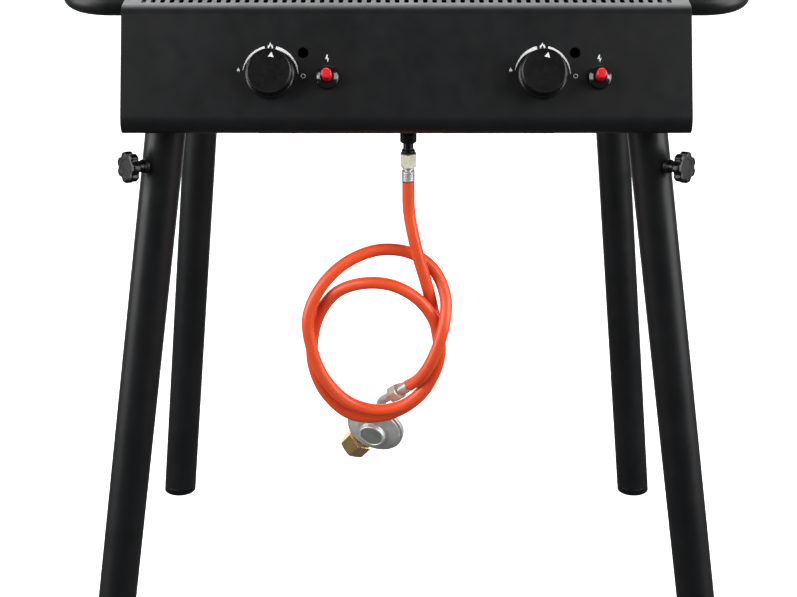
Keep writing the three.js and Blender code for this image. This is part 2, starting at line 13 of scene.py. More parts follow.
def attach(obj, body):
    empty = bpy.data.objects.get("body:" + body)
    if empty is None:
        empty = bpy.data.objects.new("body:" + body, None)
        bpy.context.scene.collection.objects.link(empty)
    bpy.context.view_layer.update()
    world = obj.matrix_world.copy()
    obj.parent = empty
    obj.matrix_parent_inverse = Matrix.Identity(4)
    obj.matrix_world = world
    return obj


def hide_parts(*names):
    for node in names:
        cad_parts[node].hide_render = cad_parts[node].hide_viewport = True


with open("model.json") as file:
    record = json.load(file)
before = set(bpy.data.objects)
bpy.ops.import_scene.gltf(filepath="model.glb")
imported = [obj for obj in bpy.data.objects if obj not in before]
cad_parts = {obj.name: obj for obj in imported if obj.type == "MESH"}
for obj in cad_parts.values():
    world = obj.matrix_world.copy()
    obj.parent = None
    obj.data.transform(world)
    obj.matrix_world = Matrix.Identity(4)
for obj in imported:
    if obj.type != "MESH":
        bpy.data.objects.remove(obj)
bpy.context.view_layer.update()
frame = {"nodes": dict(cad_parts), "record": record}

MM = 0.001
TABLE_SHIFT = Vector((0.0, 5.5, 37.0))

# ---- Driving dimensions, as in the CAD part ----
SHEET = 2.0
BEND_R = 16.0
PANEL_TILT = radians(27)
FOOT_BEND = (291.5, 707.2)
TOP_BEND = (243.2, 802.0)
DECK_Z = TOP_BEND[1] + BEND_R
RETURN_Y = 271.0
HOUSING_HALF_W = 301.5
KNOB_AXIS = (-286.2, 753.0)
BURNER_X = 143.5
IGNITER_DX, IGNITER_DY = 60.0, -3.0
PEEP_DX, PEEP_DY, PEEP_R = 34.4, 23.7, 5.75
FLOOR_Z = -TABLE_SHIFT.z
NUT_CHAMFER = 0.45  # height of a nut's chamfer for each millimetre it cuts in
SCALE_R = 29.3  # middle of the printed scale round a control knob
UNION_FLATS, CYLINDER_FLATS = 17, 30
AXIS_R = 0.01  # a lathe outline that ends here is closed on its axis
SIDES = (("left", -1), ("right", 1))
LEG_ROOT_Z = 695.0
LEG_Y = 242.4
LEG_SLOPE_Y = 0.0605
TUBE_R = 22.0
LEGS = (
    ("front_left", -1, -1, 259.0, 0.1373, 56.0),
    ("front_right", 1, -1, 259.0, 0.1373, 56.0),
    ("back_left", -1, 1, 257.0, 0.095, 52.5),
    ("back_right", 1, 1, 257.0, 0.095, 52.5),
)
HOSE_D = 13.7
HOSE_ROUTE = (
    (2, -263, 626.4), (3, -263, 590), (12, -266, 544), (24, -262, 498.5), (32, -253, 457),
    (36.4, -252, 423), (31.3, -254, 394), (18, -256, 369.4), (-6, -257, 349.5), (-36, -258, 340.5),
    (-66, -258, 345.5), (-92, -256, 370.5), (-105, -255, 404.5), (-105, -254, 439.5), (-95, -258, 472),
    (-75.4, -263, 497.4), (-45.4, -268, 509), (-14.4, -271, 507), (12.4, -273, 491.7), (30, -272, 467),
    (37.4, -270, 434.5), (33.4, -270, 406), (18, -272, 379.7), (-6, -273, 361), (-36, -273, 356.4),
    (-66, -272, 366.4), (-92, -272, 395), (-106, -273, 433), (-109, -272, 471), (-94, -265, 504),
    (-66, -255, 528.7), (-30, -248, 540.6), (6, -248, 536.3), (31, -253, 518), (43.4, -267, 491),
    (41, -284, 462), (30.5, -287, 429), (20.6, -283.5, 408), (12.2, -276.8, 395), (3.2, -269.2, 385.6),
)
REGULATOR_CENTRE = Vector((-35.0, -224.0, 312.4))
REGULATOR_FACE = Vector((-0.3, -0.9, -0.32)).normalized()
REGULATOR_INLET = Vector((-0.53, 0.386, -0.753))


# ---- Camera and light ----
def make_camera():
    data = bpy.data.cameras.new("camera")
    data.sensor_width = 36.0
    data.lens = 96.3
    data.shift_x = -0.01
    data.clip_start = 0.05
    data.clip_end = 50.0
    camera = bpy.data.objects.new("camera", data)
    camera.location = (0.0, -2.4512 + TABLE_SHIFT.y * MM, 1.3957 + TABLE_SHIFT.z * MM)
    camera.rotation_euler = (radians(90 - 22.52), 0.0, 0.0)
    bpy.context.scene.collection.objects.link(camera)
    bpy.context.scene.camera = camera


def area_light(name, place, target, size, power):
    data = bpy.data.lights.new(name, "AREA")
    data.shape = "RECTANGLE"
    data.size, data.size_y = size
    data.energy = power
    lamp = bpy.data.objects.new(name, data)
    lamp.location = place
    lamp.rotation_mode = "QUATERNION"
    lamp.rotation_quaternion = (Vector(target) - Vector(place)).to_track_quat("-Z", "Y")
    lamp.visible_camera = False
    bpy.context.scene.collection.objects.link(lamp)


def make_surroundings():
    """A backdrop that is plain white to the camera, and lights the table from behind and above."""
    world = bpy.data.worlds.new("studio")
    bpy.context.scene.world = world
    world.use_nodes = True
    tree = world.node_tree
    direction = tree.nodes.new("ShaderNodeTexCoord")
    towards = tree.nodes.new("ShaderNodeVectorMath")
    towards.operation = "DOT_PRODUCT"
    towards.inputs[1].default_value = (0.0, 0.92, 0.39)
    level = tree.nodes.new("ShaderNodeMapRange")
    level.inputs["From Min"].default_value = 0.55
    level.inputs["From Max"].default_value = 1.0
    level.inputs["To Min"].default_value = 0.12
    level.inputs["To Max"].default_value = 2.7
    path = tree.nodes.new("ShaderNodeLightPath")
    seen = tree.nodes.new("ShaderNodeMix")
    seen.inputs["B"].default_value = 1.0
    tree.links.new(direction.outputs["Generated"], towards.inputs[0])
    tree.links.new(towards.outputs["Value"], level.inputs["Value"])
    tree.links.new(level.outputs["Result"], seen.inputs["A"])
    tree.links.new(path.outputs["Is Camera Ray"], seen.inputs["Factor"])
    tree.links.new(seen.outputs["Result"], tree.nodes["Background"].inputs["Strength"])
    tree.nodes["Background"].inputs["Color"].default_value = (1, 1, 1, 1)


def make_studio():
    bpy.context.scene.view_settings.view_transform = "Standard"
    make_surroundings()
    area_light("softbox_top", (0.0, 1.2, 2.7), (0, 0, 0.6), (2.4, 1.2), 22)
    for name, side in SIDES:
        area_light(f"softbox_{name}", (side * 2.5, -0.75, 1.1), (0, 0, 0.5), (1.9, 2.0), 76)
        area_light(f"key_{name}", (side * 1.9, -1.9, 2.3), (0, -0.2, 0.5), (1.5, 1.5), 38)

    bpy.ops.mesh.primitive_plane_add(size=24)
    ground = bpy.context.object
    ground.name = "studio_floor"
    ground.visible_glossy = False
    ground.visible_diffuse = False
    ground.data.materials.append(floor_material())


# ---- Materials ----
class Shade:
    """A material being built: short names for the nodes that the finishes share."""

    def __init__(self, name):
        self.material = bpy.data.materials.new(name)
        self.material.use_nodes = True
        self.tree = self.material.node_tree
        self.shader = self.tree.nodes["Principled BSDF"]
        coords = self.tree.nodes.new("ShaderNodeTexCoord")
        self.where = coords.outputs["Object"]

    def set(self, **values):
        for name, value in values.items():
            self.shader.inputs[name.replace("_", " ")].default_value = value
        return self

    def link(self, source, target):
        self.tree.links.new(source, target)

    def noise(self, scale, detail=3.0, stretch=None):
        node = self.tree.nodes.new("ShaderNodeTexNoise")
        node.inputs["Scale"].default_value = scale
        node.inputs["Detail"].default_value = detail
        where = self.where
        if stretch:
            mapping = self.tree.nodes.new("ShaderNodeMapping")
            mapping.inputs["Scale"].default_value = stretch
            self.link(self.where, mapping.inputs["Vector"])
            where = mapping.outputs["Vector"]
        self.link(where, node.inputs["Vector"])
        return node.outputs["Fac"]

    def cells(self, scale):
        node = self.tree.nodes.new("ShaderNodeTexVoronoi")
        node.inputs["Scale"].default_value = scale
        self.link(self.where, node.inputs["Vector"])
        return node.outputs["Distance"]

    def spread(self, value, low, high, start=0.3, end=0.7):
        node = self.tree.nodes.new("ShaderNodeMapRange")
        node.inputs["From Min"].default_value = start
        node.inputs["From Max"].default_value = end
        node.inputs["To Min"].default_value = low
        node.inputs["To Max"].default_value = high
        self.link(value, node.inputs["Value"])
        return node.outputs["Result"]

    def colours(self, value, stops):
        node = self.tree.nodes.new("ShaderNodeValToRGB")
        ramp = node.color_ramp
        while len(ramp.elements) < len(stops):
            ramp.elements.new(0.5)
        for element, (place, colour) in zip(ramp.elements, stops):
            element.position = place
            element.color = (*colour, 1)
        self.link(value, node.inputs["Fac"])
        self.link(node.outputs["Color"], self.shader.inputs["Base Color"])
        return self

    def rough(self, value, low, high):
        self.link(self.spread(value, low, high), self.shader.inputs["Roughness"])
        return self

    def bump(self, value, strength, distance_mm):
        node = self.tree.nodes.new("ShaderNodeBump")
        node.inputs["Strength"].default_value = strength
        node.inputs["Distance"].default_value = distance_mm * MM
        self.link(value, node.inputs["Height"])
        before = self.shader.inputs["Normal"].links
        if before:
            self.link(before[0].from_socket, node.inputs["Normal"])
        self.link(node.outputs["Normal"], self.shader.inputs["Normal"])
        return self


def floor_material():
    shade = Shade("studio_floor").set(Roughness=1.0, Specular_IOR_Level=0.0)
    shade.set(Emission_Color=(1, 1, 1, 1), Emission_Strength=0.75)
    shade.colours(shade.noise(3.0), [(0.3, (0.93, 0.93, 0.93)), (0.7, (0.95, 0.95, 0.95))])
    return shade.material


def powder_coat():
    shade = Shade("black_powder_coat").set(Specular_IOR_Level=0.3)
    shade.colours(shade.noise(14.0), [(0.35, (0.0042, 0.0045, 0.0052)), (0.65, (0.0064, 0.0067, 0.0076))])
    shade.rough(shade.noise(60.0), 0.36, 0.44)
    shade.bump(shade.noise(1500.0, 2.0), 0.25, 0.05)
    shade.bump(shade.noise(240.0), 0.12, 0.05)
    return shade.material


def moulded_plastic():
    shade = Shade("black_moulded_plastic").set(Specular_IOR_Level=0.3)
    shade.colours(shade.noise(40.0), [(0.35, (0.0025, 0.0025, 0.003)), (0.65, (0.0045, 0.0045, 0.005))])
    shade.rough(shade.noise(180.0), 0.26, 0.36)
    shade.bump(shade.cells(2600.0), 0.10, 0.03)
    return shade.material


def enamel():
    shade = Shade("black_enamel").set(Specular_IOR_Level=0.5, Coat_Weight=0.3, Coat_Roughness=0.12)
    shade.colours(shade.noise(30.0), [(0.35, (0.006, 0.006, 0.007)), (0.65, (0.011, 0.011, 0.012))])
    shade.rough(shade.noise(90.0), 0.22, 0.36)
    shade.bump(shade.noise(420.0), 0.10, 0.05)
    return shade.material


def cast_iron():
    shade = Shade("dark_cast_iron").set(Metallic=0.4)
    shade.colours(shade.noise(120.0), [(0.3, (0.012, 0.012, 0.013)), (0.7, (0.032, 0.031, 0.030))])
    shade.rough(shade.noise(200.0), 0.55, 0.8)
    shade.bump(shade.noise(900.0), 0.5, 0.12)
    return shade.material


def glossy_plastic():
    shade = Shade("glossy_black_plastic").set(Specular_IOR_Level=0.6)
    shade.colours(shade.noise(40.0), [(0.35, (0.0025, 0.0025, 0.003)), (0.65, (0.004, 0.004, 0.0045))])
    shade.rough(shade.noise(220.0), 0.08, 0.16)
    shade.bump(shade.noise(500.0), 0.05, 0.03)
    return shade.material


def red_plastic():
    shade = Shade("glossy_red_plastic").set(Subsurface_Weight=0.08, Subsurface_Scale=0.002)
    shade.colours(shade.noise(300.0), [(0.35, (0.62, 0.012, 0.02)), (0.65, (0.72, 0.018, 0.026))])
    shade.rough(shade.noise(500.0), 0.2, 0.32)
    shade.bump(shade.noise(1200.0), 0.06, 0.03)
    return shade.material


def white_print():
    shade = Shade("white_screen_print").set(Specular_IOR_Level=0.2)
    shade.colours(shade.noise(900.0), [(0.3, (0.66, 0.66, 0.66)), (0.7, (0.82, 0.82, 0.82))])
    shade.rough(shade.noise(900.0), 0.5, 0.7)
    return shade.material


# Near-black and dull: painted shade, standing for the dark inside of the housing that is seen through each
# sight hole.
def painted_shade_black():
    shade = Shade("painted_shade_black").set(Specular_IOR_Level=0.05)
    shade.colours(shade.noise(300.0), [(0.3, (0.001, 0.001, 0.001)), (0.7, (0.002, 0.002, 0.002))])
    shade.rough(shade.noise(300.0), 0.8, 0.95)
    return shade.material


def hose_rubber():
    shade = Shade("orange_hose_rubber").set(Specular_IOR_Level=0.5, Sheen_Weight=0.05)
    shade.colours(shade.noise(22.0), [(0.3, (0.72, 0.066, 0.014)), (0.7, (0.82, 0.085, 0.018))])
    shade.rough(shade.noise(160.0), 0.34, 0.46)
    shade.bump(shade.noise(520.0, 2.0), 0.14, 0.08)
    return shade.material


def plain_metal(name, dark, light, rough, metallic=1.0, grain=700.0, bump=0.12):
    shade = Shade(name).set(Metallic=metallic)
    shade.colours(shade.noise(160.0), [(0.3, dark), (0.7, light)])
    shade.rough(shade.noise(350.0), rough[0], rough[1])
    shade.bump(shade.noise(grain), bump, 0.05)
    return shade.material


def ceramic():
    shade = Shade("white_glazed_ceramic").set(Coat_Weight=0.4, Coat_Roughness=0.15)
    shade.colours(shade.noise(300.0), [(0.3, (0.74, 0.72, 0.66)), (0.7, (0.82, 0.80, 0.75))])
    shade.rough(shade.noise(400.0), 0.25, 0.4)
    return shade.material


MATERIALS = {
    "black_coat": powder_coat(),
    "knob_plastic": moulded_plastic(),
    "gloss_plastic": glossy_plastic(),
    "enamel": enamel(),
    "cast_iron": cast_iron(),
    "red_plastic": red_plastic(),
    "print": white_print(),
    "painted_shade": painted_shade_black(),
    "hose_rubber": hose_rubber(),
    "brass": plain_metal(
        "machined_brass", (0.72, 0.46, 0.18), (0.86, 0.60, 0.27), (0.16, 0.26),
        metallic=0.85, grain=500.0, bump=0.05),
    "steel": plain_metal(
        "bright_zinc_plate", (0.66, 0.66, 0.67), (0.80, 0.80, 0.80), (0.24, 0.36), metallic=0.7),
    "rail_steel": plain_metal(
        "plain_steel_pipe", (0.20, 0.20, 0.21), (0.32, 0.32, 0.33), (0.35, 0.5)),
    "ferrule_steel": plain_metal(
        "crimped_sleeve", (0.54, 0.54, 0.55), (0.72, 0.72, 0.72), (0.26, 0.38), metallic=0.7),
    "yellow_zinc": plain_metal(
        "pale_yellow_zinc", (0.74, 0.70, 0.52), (0.86, 0.83, 0.68), (0.26, 0.38), metallic=0.55),
    "cast_zinc": plain_metal(
        "die_cast_zinc", (0.58, 0.59, 0.58), (0.72, 0.73, 0.72), (0.36, 0.5),
        metallic=0.55, grain=1200.0, bump=0.3),
    "label": plain_metal(
        "blank_label", (0.20, 0.21, 0.19), (0.26, 0.27, 0.25), (0.45, 0.6), metallic=0.2),
    "ceramic": ceramic(),
}


# ---- Mesh helpers ----
def panel_frame(x, dy=0.0):
    """The frame on the front panel: +Z out of the panel, +Y up along it."""
    out = Vector((0, -cos(PANEL_TILT), sin(PANEL_TILT)))
    up = Vector((0, sin(PANEL_TILT), cos(PANEL_TILT)))
    origin = Vector((x, KNOB_AXIS[0], KNOB_AXIS[1])) + up * dy
    return frame_from((1, 0, 0), up, out, origin)


def frame_from(x, y, z, origin):
    matrix = Matrix((x, y, z)).transposed().to_4x4()
    matrix.translation = origin
    return matrix


def frame_at(origin, z_axis, x_hint):
    """As frameAt in the CAD part: a frame whose +Z is the given direction."""
    z = Vector(z_axis).normalized()
    y = z.cross(Vector(x_hint)).normalized()
    return frame_from(y.cross(z), y, z, Vector(origin))


def finish_object(obj, finish, body, replaced=()):
    bpy.context.scene.collection.objects.link(obj)
    obj.data.materials.append(MATERIALS[finish])
    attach(obj, body)
    if replaced:
        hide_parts(*replaced)
    return obj


def add_mesh(name, points, faces, finish, body="table", replaced=(), matrix=None, sharp=32):
    """points are millimetres in the table's frame, or in matrix's frame."""
    matrix = matrix or Matrix.Identity(4)
    mesh = bpy.data.meshes.new(name)
    mesh.from_pydata([(matrix @ Vector(p) + TABLE_SHIFT) * MM for p in points], [], faces)
    mesh.validate()
    smooth(mesh, sharp)
    return finish_object(bpy.data.objects.new(name, mesh), finish, body, replaced)


def smooth(mesh, sharp):
    mesh.polygons.foreach_set("use_smooth", [True] * len(mesh.polygons))
    mesh.set_sharp_from_angle(angle=radians(sharp))


def fillet(outline, radius, steps=4, closed=False):
    """The outline with each corner rounded, as far as its two sides leave room."""
    points = [Vector(p) for p in outline]
    result = []
    count = len(points)
    for i, corner in enumerate(points):
        if not closed and i in (0, count - 1):
            result.append(corner)
            continue
        before = points[i - 1] - corner
        after = points[(i + 1) % count] - corner
        reach = min(radius, before.length * 0.45, after.length * 0.45)
        start = corner + before.normalized() * reach
        end = corner + after.normalized() * reach
        for k in range(steps + 1):
            t = k / steps
            result.append(start * (1 - t) ** 2 + corner * 2 * t * (1 - t) + end * t ** 2)
    return result


def spun(rows, sides, closed=False):
    """Rings stacked along +Z. A row is (radius or function of the angle, z). Open stacks are capped."""
    points, faces = [], []
    for radius, z in rows:
        for i in range(sides):
            angle = i / sides * 2 * pi
            r = radius(angle) if callable(radius) else radius
            points.append((r * cos(angle), r * sin(angle), z))
    count = len(rows)
    for j in range(count if closed else count - 1):
        a, b = j * sides, (j + 1) % count * sides
        for i in range(sides):
            k = (i + 1) % sides
            faces.append((a + i, a + k, b + k, b + i))
    if not closed:
        faces.append(tuple(reversed(range(sides))))
        faces.append(tuple(range((count - 1) * sides, count * sides)))
    return points, faces


def turned(name, outline, finish, sides=64, radius=0.6, closed=False, **options):
    """A lathe piece from (radius, z) corners, with every corner rounded."""
    rows = [(p.x, p.y) for p in fillet(outline, radius, closed=closed)]
    points, faces = spun(rows, sides, closed)
    return add_mesh(name, points, faces, finish, **options)


def polygon_radius(sides, across_flats):
    """The radius of a regular polygon at an angle, with a corner at angle 0."""
    step = 2 * pi / sides
    return lambda angle: across_flats / 2 / cos((angle % step) - step / 2)


def limited(shape, limit):
    return lambda angle: min(shape(angle), limit)


def hex_nut(name, across_flats, z0, z1, bore, finish, **options):
    """A hexagon with both ends chamfered, and a bore right through."""
    flats = polygon_radius(6, across_flats)
    corner = across_flats / sqrt(3)
    inner = across_flats / 2 - 0.2
    rows = []
    steps = 6
    for k in range(steps + 1):
        grown = (corner - inner) * k / steps
        rows.append((limited(flats, inner + grown), z0 + NUT_CHAMFER * grown))
    for k in range(steps, -1, -1):
        grown = (corner - inner) * k / steps
        rows.append((limited(flats, inner + grown), z1 - NUT_CHAMFER * grown))
    rows += [(bore + 0.6, z1), (bore, z1 - 0.6), (bore, z0 + 0.6), (bore + 0.6, z0)]
    points, faces = spun(rows, 96, closed=True)
    return add_mesh(name, points, faces, finish, sharp=24, **options)


def plate(outline, z0, z1):
    """A flat shape with a thickness, from its outline."""
    count = len(outline)
    points = [(x, y, z0) for x, y in outline] + [(x, y, z1) for x, y in outline]
    faces = [tuple(reversed(range(count))), tuple(range(count, 2 * count))]
    for i in range(count):
        k = (i + 1) % count
        faces.append((i, k, count + k, count + i))
    return points, faces


def loft(loops):
    """A skin through loops of equal count, the last loop joined to the first."""
    sides = len(loops[0])
    points = [p for loop in loops for p in loop]
    faces = []
    for j in range(len(loops)):
        a, b = j * sides, (j + 1) % len(loops) * sides
        for i in range(sides):
            k = (i + 1) % sides
            faces.append((a + i, a + k, b + k, b + i))
    return points, faces


def gather(shapes):
    """Several (points, faces) as one."""
    points, faces = [], []
    for more_points, more_faces in shapes:
        start = len(points)
        points += [tuple(p) for p in more_points]
        faces += [tuple(start + i for i in face) for face in more_faces]
    return points, faces


def moved(shape, matrix):
    return [matrix @ Vector(p) for p in shape[0]], shape[1]


def cut(obj, shapes):
    """Cuts closed shapes, in the table's frame, out of an object."""
    points, faces = gather(shapes)
    mesh = bpy.data.meshes.new("cutter")
    mesh.from_pydata([(Vector(p) + TABLE_SHIFT) * MM for p in points], [], faces)
    cutter = bpy.data.objects.new("cutter", mesh)
    bpy.context.scene.collection.objects.link(cutter)
    modifier = obj.modifiers.new("cut", "BOOLEAN")
    modifier.operation = "DIFFERENCE"
    modifier.solver = "EXACT"
    modifier.object = cutter
    evaluated = obj.evaluated_get(bpy.context.evaluated_depsgraph_get())
    result = bpy.data.meshes.new_from_object(evaluated)
    obj.modifiers.clear()
    obj.data = result
    smooth(result, 32)
    bpy.data.objects.remove(cutter)


def tube_along(name, paths, radius, finish, body="table", replaced=(), sides=10):
    """Round bars along paths of points: (points, closed) pairs, all in one curve object."""
    curve = bpy.data.curves.new(name, "CURVE")
    curve.dimensions = "3D"
    curve.bevel_depth = radius * MM
    curve.bevel_resolution = sides
    curve.use_fill_caps = True
    for points, closed in paths:
        spline = curve.splines.new("POLY")
        spline.points.add(len(points) - 1)
        for point, place in zip(spline.points, points):
            point.co = (*((Vector(place) + TABLE_SHIFT) * MM), 1)
        spline.use_cyclic_u = closed
        spline.use_smooth = True
    return finish_object(bpy.data.objects.new(name, curve), finish, body, replaced)


# ---- Housing ----
def arc_points(centre, radius, start, end, steps):
    cy, cz = centre
    for k in range(steps + 1):
        angle = start + (end - start) * k / steps
        yield (cy + radius * cos(angle), cz + radius * sin(angle))


def fold_line(r):
    """The folded sheet's outline at one surface, front flange to back flange, as (y, z)."""
    face = pi - PANEL_TILT
    foot_y, foot_z = FOOT_BEND
    top_y, top_z = TOP_BEND
    points = [(-RETURN_Y, foot_z - r)]
    points += arc_points((-foot_y, foot_z), r, pi * 1.5, face, 14)
    points += arc_points((-top_y, top_z), r, face, pi / 2, 14)
    points += arc_points((top_y, top_z), r, pi / 2, PANEL_TILT, 14)
    points += arc_points((foot_y, foot_z), r, PANEL_TILT, -pi / 2, 14)
    points.append((RETURN_Y, foot_z - r))
    return points


def slot_shape(x, y0, y1, width):
    """A slot with round ends through the deck."""
    r = width / 2
    outline = [(x + r * cos(a), y0 + r + r * sin(a)) for a in (pi + pi * k / 6 for k in range(7))]
    outline += [(x + r * cos(a), y1 - r + r * sin(a)) for a in (pi * k / 6 for k in range(7))]
    return plate(outline, DECK_Z - 6, DECK_Z + 6)


def rounded_loop(half_x, half_y, corner, z, steps=8):
    loop = []
    for quarter, (sx, sy) in enumerate(((1, 1), (-1, 1), (-1, -1), (1, -1))):
        for k in range(steps + 1):
            angle = (quarter + k / steps) * pi / 2
            x = sx * (half_x - corner) + corner * cos(angle)
            y = sy * (half_y - corner) + corner * sin(angle)
            loop.append((x, y, z))
    return loop


def drill(matrix, radius, depth=6.0):
    return moved(spun([(radius, -depth), (radius, depth)], 40), matrix)


def make_housing():
    outer = fold_line(BEND_R)
    inner = fold_line(BEND_R - SHEET)
    ring = outer + inner[::-1]
    edge = 0.4  # the cut edges of the sheet are a little rounded
    middle = [(Vector(a) + Vector(b)) / 2 for a, b in zip(outer, inner)]
    shy = [tuple(Vector(p).lerp(m, edge / SHEET * 2)) for p, m in zip(ring, middle + middle[::-1])]
    loops = []
    for x, line in ((-HOUSING_HALF_W, shy), (-HOUSING_HALF_W + edge, ring),
                    (HOUSING_HALF_W - edge, ring), (HOUSING_HALF_W, shy)):
        loops.append([(x, y, z) for y, z in line])
    points, faces = [p for loop in loops for p in loop], []
    sides = len(ring)
    for j in range(3):
        for i in range(sides):
            k = (i + 1) % sides
            faces.append((j * sides + i, j * sides + k, (j + 1) * sides + k, (j + 1) * sides + i))
    for j, flip in ((0, True), (3, False)):
        for i in range(len(outer) - 1):
            a, b = j * sides + i, j * sides + i + 1
            c, d = j * sides + sides - 2 - i, j * sides + sides - 1 - i
            faces.append((d, c, b, a) if flip else (a, b, c, d))
    shell = add_mesh("housing", points, faces, "black_coat", replaced=["housing_shell"])
    shapes = [plate([(x, y) for x, y, z in rounded_loop(272, 196, 20, 0)], DECK_Z - 10, DECK_Z + 10)]
    for i in range(57):
        x = (i - 28) * 10
        shapes.append(slot_shape(x, -237, -221, 5))
        shapes.append(slot_shape(x, 221, 237, 5))
    for _, side in SIDES:
        x = side * BURNER_X
        shapes.append(drill(panel_frame(x), 6.5))
        shapes.append(drill(panel_frame(x + IGNITER_DX, IGNITER_DY), 9))
        shapes.append(drill(panel_frame(x + PEEP_DX, PEEP_DY), PEEP_R))
    cut(shell, shapes)


def make_well():
    """The drop-in hob well: a rim that laps over the deck, a drawn edge and a sunken floor."""
    z_rim = DECK_Z + 0.3
    outline = [
        (279.5, z_rim), (279.5, z_rim + 1.5), (271, z_rim + 1.5), (267.5, z_rim - 2), (267.5, 791),
        (264, 787.5), (200, 787.5), (200, 786), (265, 786), (269, 790), (269, z_rim),
    ]
    profile = fillet(outline, 2.5, steps=4, closed=True)
    loops = []
    for p in profile:
        inset = 269 - p.x
        corner = max(20 - inset, 6)
        loops.append(rounded_loop(p.x, p.x - 76, corner, p.y))
    points, faces = loft(loops)
    well = add_mesh("hob_pan", points, faces, "enamel", replaced=["hob_well"])
    outline = [(x, y) for x, y, z in rounded_loop(201, 125, 6, 0)]
    base = add_mesh("hob_pan_floor", *plate(outline, 786.05, 787.45), "enamel")
    shapes = []
    for _, side in SIDES:
        place = Matrix.Translation((side * BURNER_X, 0, 786.7))
        shapes.append(moved(spun([(63, -6), (63, 6)], 96), place))
    cut(base, shapes)
    cut(well, shapes)


# ---- Burners and grates ----
def make_burner(name, side):
    place = Matrix.Translation((side * BURNER_X, 0, 0))
    ports = 36

    def ported(angle):
        near = abs((angle * ports / (2 * pi)) % 1 - 0.5)
        return 52.4 if near < 0.17 else 53.9

    rows = [(49, 776.5), (53.2, 776.5), (53.9, 777.5), (53.9, 786), (ported, 786.3), (ported, 796.5),
            (53.9, 796.8), (53.2, 798), (49.6, 798)]
    points, faces = spun(rows, 288, closed=True)
    add_mesh(f"burner_ring_{name}", points, faces, "cast_iron", matrix=place, sharp=25)
    lid = [(AXIS_R, 798.3), (48, 798.3), (49.9, 801), (49.9, 804), (46, 806.6), (30, 808), (AXIS_R, 808)]
    turned(f"burner_lid_{name}", lid, "enamel", sides=96, radius=1.6, matrix=place,
           replaced=[f"burner_cap_{name}"])


def make_grate(name, side):
    """Round bars: a frame with round corners, five long bars, a crossing bar and four feet."""
    x0, x1, half_y, r = 6.0, 262.0, 186.0, 4.0
    z = 826 - r
    mid, half_x = (x0 + x1) / 2 * side, (x1 - x0) / 2
    frame_loop = [(mid + x, y, z) for x, y, _ in rounded_loop(half_x - r, half_y - r, 14, 0)]
    paths = [(frame_loop, True)]
    for step in (-80, -38, 0, 38, 80):
        paths.append(([(mid + step, -half_y + r, z), (mid + step, half_y - r, z)], False))
    paths.append(([(mid - half_x + r, 0, z - 0.6), (mid + half_x - r, 0, z - 0.6)], False))
    foot_z = 787.9
    for sx in (-1, 1):
        for sy in (-1, 1):
            x = mid + sx * (half_x - r)
            paths.append(([(x, sy * (half_y - 24), z), (x, sy * (half_y - 24), foot_z)], False))
    tube_along(f"grate_bars_{name}", paths, r, "cast_iron", body=f"pan_grate_{name}",
               replaced=[f"grate_{name}"], sides=6)


# ---- Controls ----
def make_knob(name, side):
    turn = radians(-8 if side < 0 else -13)
    at = panel_frame(side * BURNER_X) @ Matrix.Rotation(turn, 4, "Z")
    body = f"control_knob_{name}"
    grips = 48

    def grip(radius):
        return lambda angle: radius + 0.16 * cos(angle * grips)

    rows = [(21.5, 4.2), (25.6, 4.2), (25.9, 4.6), (25.9, 6.4), (25.5, 7.1), (24.6, 7.6), (grip(23.9), 8.4),
            (grip(23.75), 14), (grip(23.6), 23.2), (23.5, 24.2), (23.7, 25.0), (23.6, 25.5), (23.3, 25.8),
            (22.9, 25.9), (22.4, 25.7), (22.0, 25.3), (21.0, 25.2), (8, 25.4), (0.4, 25.45), (0.4, 20),
            (20.5, 20), (21.5, 17)]
    points, faces = spun(rows, 192, closed=True)
    add_mesh(f"dial_{name}", points, faces, "knob_plastic", body, [f"knob_{name}"], at, sharp=28)
    pointer = [(-3.1, 14.6), (3.1, 14.6), (0, 19.9)]
    add_mesh(f"dial_pointer_{name}", *plate(pointer, 25.1, 25.5), "print", body, matrix=at)


def crescent(start, end, thick_at_start, thick_at_end):
    """A printed arc round the knob. Angles are degrees anticlockwise from +X."""
    steps = 28
    outer, inner = [], []
    for k in range(steps + 1):
        t = k / steps
        angle = radians(start + (end - start) * t)
        half = (thick_at_start + (thick_at_end - thick_at_start) * t) / 2
        outer.append(((SCALE_R + half) * cos(angle), (SCALE_R + half) * sin(angle)))
        inner.append(((SCALE_R - half) * cos(angle), (SCALE_R - half) * sin(angle)))
    outline = outer + inner[::-1]
    return outline if end > start else outline[::-1]


FLAME = (
    (-1.2, -3.4), (-2.4, -2.6), (-3.0, -1.2), (-2.8, 0.2), (-2.0, 1.4), (-1.6, 0.7), (-1.1, 2.2), (-0.1, 4.1),
    (0.3, 2.6), (1.2, 1.2), (1.6, 1.9), (2.6, 0.5), (3.0, -1.2), (2.4, -2.6), (1.2, -3.4), (1.7, -2.2),
    (1.2, -0.8), (0.4, 0.6), (-0.2, 1.2), (-0.7, -0.1), (-1.4, -1.0), (-1.7, -2.2),
)
SMALL_FLAME = (
    (-1.5, -3.4), (-2.6, -1.8), (-2.4, 0.2), (-1.2, 1.8), (-0.4, 4.2), (0.9, 2.2), (2.3, 0.6), (2.7, -1.4),
    (1.8, -3.2), (0.9, -3.5), (1.0, -2.0), (0.2, -0.4), (-0.7, -2.0), (-0.8, -3.5),
)
BOLT = ((-0.3, 4.2), (-2.1, -0.6), (-0.2, -0.1), (0.9, -4.2), (2.3, 0.6), (0.6, 0.2), (0.9, 4.2))


def printed_sign(name, outline, matrix, scale=1.0, offset=(0, 0)):
    points = [(x * scale + offset[0], y * scale + offset[1]) for x, y in outline]
    area = sum(x0 * y1 - x1 * y0 for (x0, y0), (x1, y1) in zip(points, points[1:] + points[:1]))
    if area < 0:
        points.reverse()
    add_mesh(name, *plate(points, 0.02, 0.12), "print", matrix=matrix)


